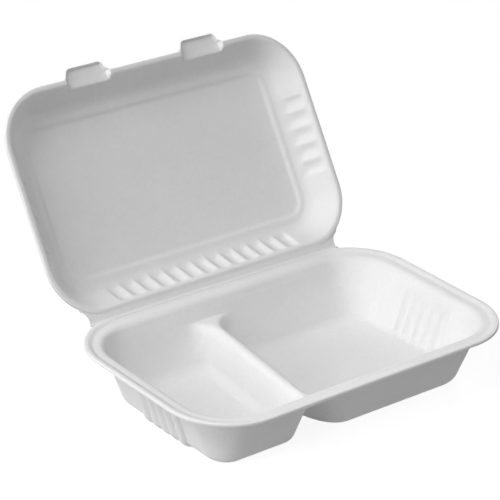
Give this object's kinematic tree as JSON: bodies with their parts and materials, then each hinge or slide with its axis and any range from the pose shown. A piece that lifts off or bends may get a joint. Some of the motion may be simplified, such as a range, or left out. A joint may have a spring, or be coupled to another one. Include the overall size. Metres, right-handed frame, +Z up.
{
  "type": "bagasse clamshell container",
  "caption": "Hinged moulded-pulp food container with a flanged base tray split by a skewed divider, a ribbed lid and two lift tabs.",
  "frame": {"origin": "on the underside of the large compartment's floor, at the middle of the tray's outline", "axes": "+X across the width towards the large compartment, +Y back towards the hinge, +Z up"},
  "size_m": [0.24, 0.2377, 0.168],
  "materials": {
    "tray_pulp": "matt pressed pulp",
    "lid_pulp": "matt pressed pulp"
  },
  "bodies": {
    "base_tray": {"base_tray": "tray_pulp"},
    "lid": {"lid": "lid_pulp"}
  },
  "joints": [
    {"name": "lid_hinge", "type": "hinge", "parent": "base_tray", "child": "lid", "pos_m": [0, 0.0753, 0.0393], "axis": [1, 0, 0], "range_deg": [-57.5, 122.5]}
  ]
}
